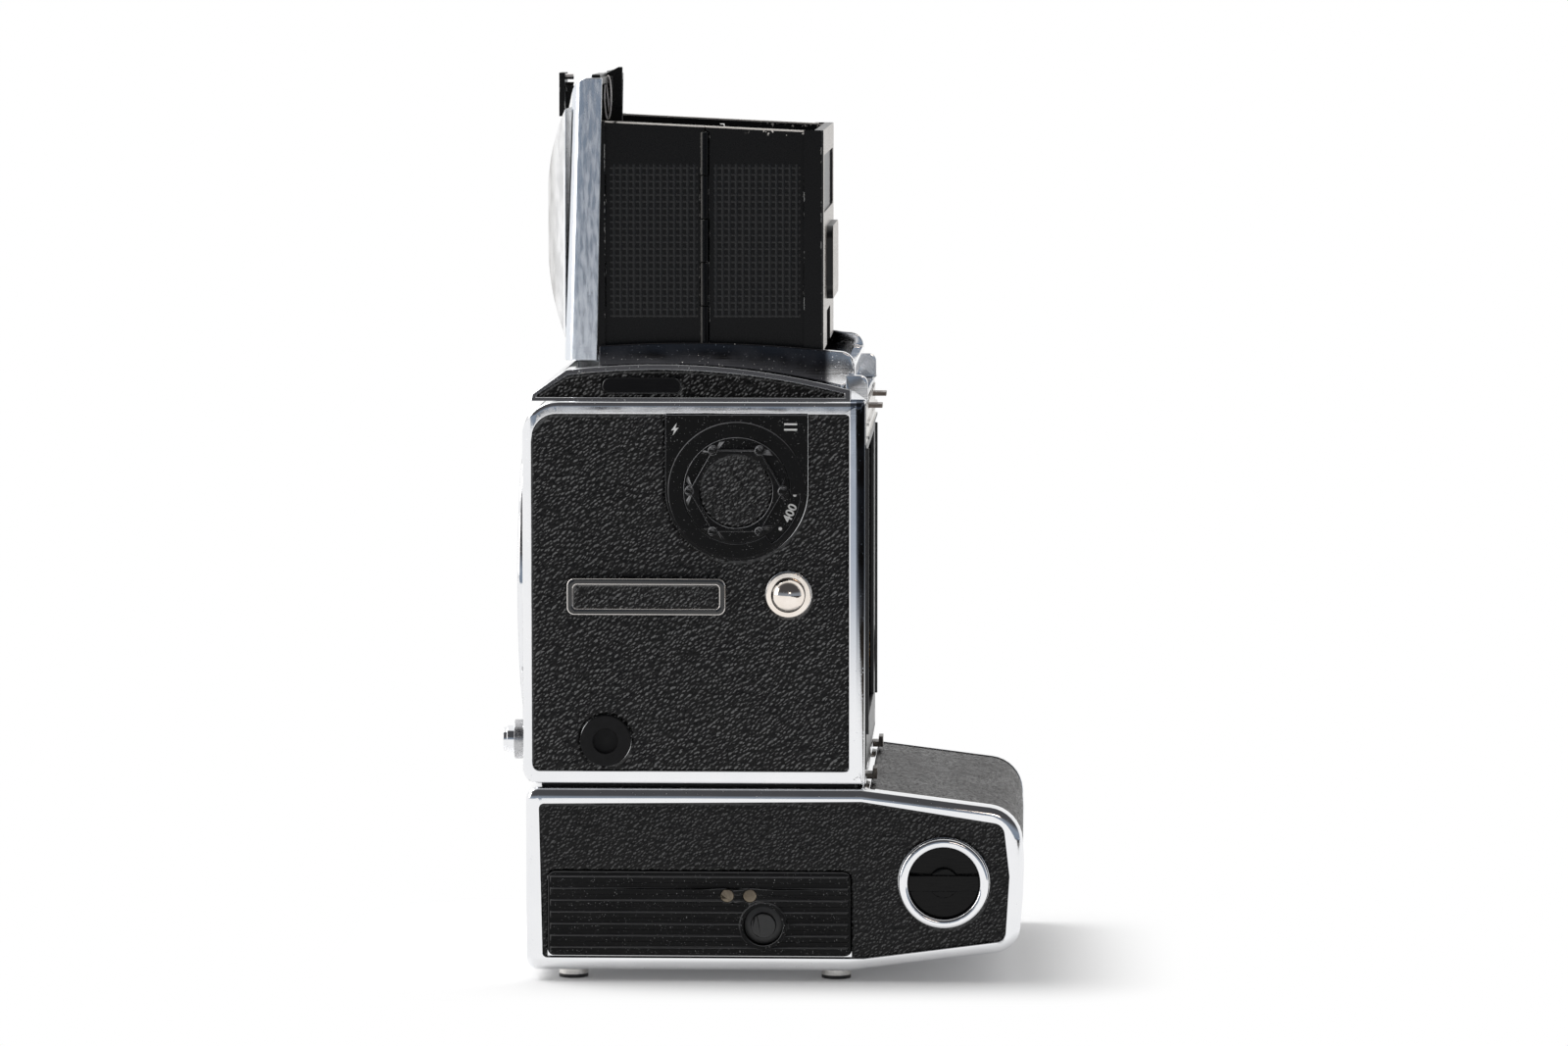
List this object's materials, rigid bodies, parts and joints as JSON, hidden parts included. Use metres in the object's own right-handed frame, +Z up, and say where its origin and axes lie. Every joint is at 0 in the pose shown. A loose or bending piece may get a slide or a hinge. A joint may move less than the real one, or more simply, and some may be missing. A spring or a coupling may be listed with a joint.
{
  "type": "medium format reflex camera",
  "caption": "Box-shaped medium format reflex camera body on a motor base, with an open folding waist-level hood, bayonet lens mount and rear seat for a film magazine.",
  "frame": {"origin": "centre of the tripod socket at the underside of the coupling plate, level with the feet's undersides", "axes": "+Z up; -X along the lens axis towards the lens; +X towards the film magazine; -Y towards the camera's left side"},
  "size_m": [0.1062, 0.0982, 0.1843],
  "materials": {
    "chrome": "polished",
    "satin_metal": "satin",
    "leather": "pebbled grain",
    "black_paint": "satin",
    "black_plastic": "satin",
    "gloss_black": "gloss",
    "rubber": "matt",
    "glass": "polished",
    "ground_glass": "ground",
    "mirror": "polished",
    "brass": "satin",
    "steel": "brushed",
    "cell_wrap": "gloss",
    "board": "gloss"
  },
  "bodies": {
    "camera": {"body_shell": "chrome", "body_side_leathers": "leather", "front_leather": "leather", "top_cover": "chrome", "shoulder_leathers": "leather", "name_plate": "gloss_black", "lens_mount": "chrome", "mirror_box": "black_paint", "screen_frame": "black_paint", "focusing_screen": "ground_glass", "rear_plate": "satin_metal", "plate_screws": "steel", "magazine_upper_hooks": "steel", "magazine_lower_hooks": "chrome", "release_collar": "steel", "accessory_rail": "gloss_black", "strap_lugs": "chrome", "flash_socket": "steel", "flash_cap": "rubber", "iso_plate": "black_plastic", "base_shell": "chrome", "base_gasket": "rubber", "base_side_leathers": "leather", "base_wrap_leather": "leather", "knob_bezel": "chrome", "drive_motor": "steel", "circuit_board": "board", "tripod_plate": "chrome", "rubber_feet": "rubber", "hood_base": "chrome"},
    "mirror": {"mirror_frame": "black_paint", "mirror_glass": "mirror"},
    "upper_flap": {"upper_shutter_flap": "black_paint"},
    "lower_flap": {"lower_shutter_flap": "black_paint"},
    "release": {"release_button": "chrome"},
    "lens_release": {"lens_release_button": "chrome"},
    "lens_drive": {"lens_drive_shaft": "steel"},
    "magazine_drive": {"magazine_drive_gear": "brass"},
    "film_speed_dial": {"iso_scale_disc": "black_plastic", "iso_dial": "black_plastic", "dial_leather": "leather"},
    "battery_drawer": {"battery_cover": "black_plastic", "battery_contacts": "brass", "battery_holder": "black_plastic", "batteries": "cell_wrap"},
    "battery_latch": {"battery_latch_button": "black_plastic"},
    "mode_dial": {"mode_knob": "gloss_black"},
    "motor_shaft": {"motor_pinion": "brass"},
    "gear": {"drive_gear": "brass"},
    "lid": {"lid_frame": "chrome", "lid_cover": "chrome", "lid_hinge_pin": "steel"},
    "magnifier_arm": {"magnifier": "black_paint", "magnifier_lens": "glass"},
    "catch": {"magnifier_catch": "black_paint"},
    "left_front_wall": {"left_front_leaf": "black_paint"},
    "left_rear_wall": {"left_rear_leaf": "black_paint"},
    "right_front_wall": {"right_front_leaf": "black_paint"},
    "right_rear_wall": {"right_rear_leaf": "black_paint"},
    "hood_rear": {"rear_panel": "satin_metal"}
  },
  "joints": [
    {"name": "lid_fold", "type": "hinge", "parent": "camera", "child": "lid", "pos_m": [-0.0222, 0, 0.1301], "axis": [0, 1, 0], "range_deg": [0, 88], "deforming": ["left_front_leaf", "left_rear_leaf", "right_front_leaf", "right_rear_leaf", "rear_panel"]},
    {"name": "magnifier_raise", "type": "hinge", "parent": "lid", "child": "magnifier_arm", "pos_m": [-0.0206, 0, 0.181], "axis": [0, 1, 0], "range_deg": [-90, 0]},
    {"name": "catch_slide", "type": "slide", "parent": "lid", "child": "catch", "axis": [0, 1, 0], "range_m": [0, 0.003]},
    {"name": "left_wall_fold", "type": "hinge", "parent": "lid", "child": "left_front_wall", "pos_m": [-0.0207, -0.0352, 0.15], "axis": [0, 0, 1], "range_deg": [0, 86]},
    {"name": "left_rear_wall_fold", "type": "hinge", "parent": "left_front_wall", "child": "left_rear_wall", "pos_m": [0.0003, -0.0352, 0.15], "axis": [0, 0, 1], "range_deg": [-172, 0]},
    {"name": "rear_panel_swing", "type": "hinge", "parent": "left_rear_wall", "child": "hood_rear", "pos_m": [0.0213, -0.0352, 0.15], "axis": [0, 0, 1], "range_deg": [0, 86]},
    {"name": "right_wall_fold", "type": "hinge", "parent": "lid", "child": "right_front_wall", "pos_m": [-0.0207, 0.0352, 0.15], "axis": [0, 0, 1], "range_deg": [-86, 0]},
    {"name": "right_rear_wall_fold", "type": "hinge", "parent": "right_front_wall", "child": "right_rear_wall", "pos_m": [0.0003, 0.0352, 0.15], "axis": [0, 0, 1], "range_deg": [0, 172]},
    {"name": "mirror_lift", "type": "hinge", "parent": "camera", "child": "mirror", "pos_m": [0.0312, 0, 0.113], "axis": [0, 1, 0], "range_deg": [0, 45]},
    {"name": "upper_flap_open", "type": "hinge", "parent": "camera", "child": "upper_flap", "pos_m": [0.0315, 0, 0.1079], "axis": [0, 1, 0], "range_deg": [0, 90]},
    {"name": "lower_flap_open", "type": "hinge", "parent": "camera", "child": "lower_flap", "pos_m": [0.0315, 0, 0.0499], "axis": [0, 1, 0], "range_deg": [-90, 0]},
    {"name": "release_press", "type": "slide", "parent": "camera", "child": "release", "axis": [1, 0, 0], "range_m": [0, 0.0022]},
    {"name": "lens_release_press", "type": "slide", "parent": "camera", "child": "lens_release", "axis": [1, 0, 0], "range_m": [0, 0.0016]},
    {"name": "film_speed_turn", "type": "hinge", "parent": "camera", "child": "film_speed_dial", "pos_m": [0.00715, -0.046, 0.0998], "axis": [0, 1, 0], "range_deg": [-135, 135]},
    {"name": "mode_turn", "type": "hinge", "parent": "camera", "child": "mode_dial", "pos_m": [0.049, -0.045, 0.0203], "axis": [0, 1, 0], "range_deg": [-72, 144]},
    {"name": "battery_drawer_slide", "type": "slide", "parent": "camera", "child": "battery_drawer", "axis": [0, -1, 0], "range_m": [0, 0.06]},
    {"name": "battery_latch_press", "type": "slide", "parent": "battery_drawer", "child": "battery_latch", "axis": [0, 1, 0], "range_m": [0, 0.0008]},
    {"name": "motor_turn", "type": "hinge", "parent": "camera", "child": "motor_shaft", "pos_m": [0.049, 0.036, 0.0203], "axis": [0, 1, 0], "continuous": true},
    {"name": "drive_gear_turn", "type": "hinge", "parent": "camera", "child": "gear", "pos_m": [0.03236, 0.036, 0.02264], "axis": [0, 1, 0], "continuous": true},
    {"name": "lens_drive_turn", "type": "hinge", "parent": "camera", "child": "lens_drive", "pos_m": [-0.03, 0.009, 0.0536], "axis": [1, 0, 0], "continuous": true},
    {"name": "magazine_drive_turn", "type": "hinge", "parent": "camera", "child": "magazine_drive", "pos_m": [0.03, 0.0341, 0.06], "axis": [1, 0, 0], "continuous": true}
  ],
  "couplings": [
    {"joint": "left_wall_fold", "follows": "lid_fold", "ratio": 0.975},
    {"joint": "left_rear_wall_fold", "follows": "lid_fold", "ratio": -1.95},
    {"joint": "rear_panel_swing", "follows": "lid_fold", "ratio": 0.975},
    {"joint": "right_wall_fold", "follows": "lid_fold", "ratio": -0.975},
    {"joint": "right_rear_wall_fold", "follows": "lid_fold", "ratio": 1.95},
    {"joint": "upper_flap_open", "follows": "mirror_lift", "ratio": 2},
    {"joint": "lower_flap_open", "follows": "mirror_lift", "ratio": -2},
    {"joint": "drive_gear_turn", "follows": "motor_turn", "ratio": -0.4},
    {"joint": "lens_drive_turn", "follows": "motor_turn", "ratio": 0.1},
    {"joint": "magazine_drive_turn", "follows": "motor_turn", "ratio": 0.1}
  ]
}
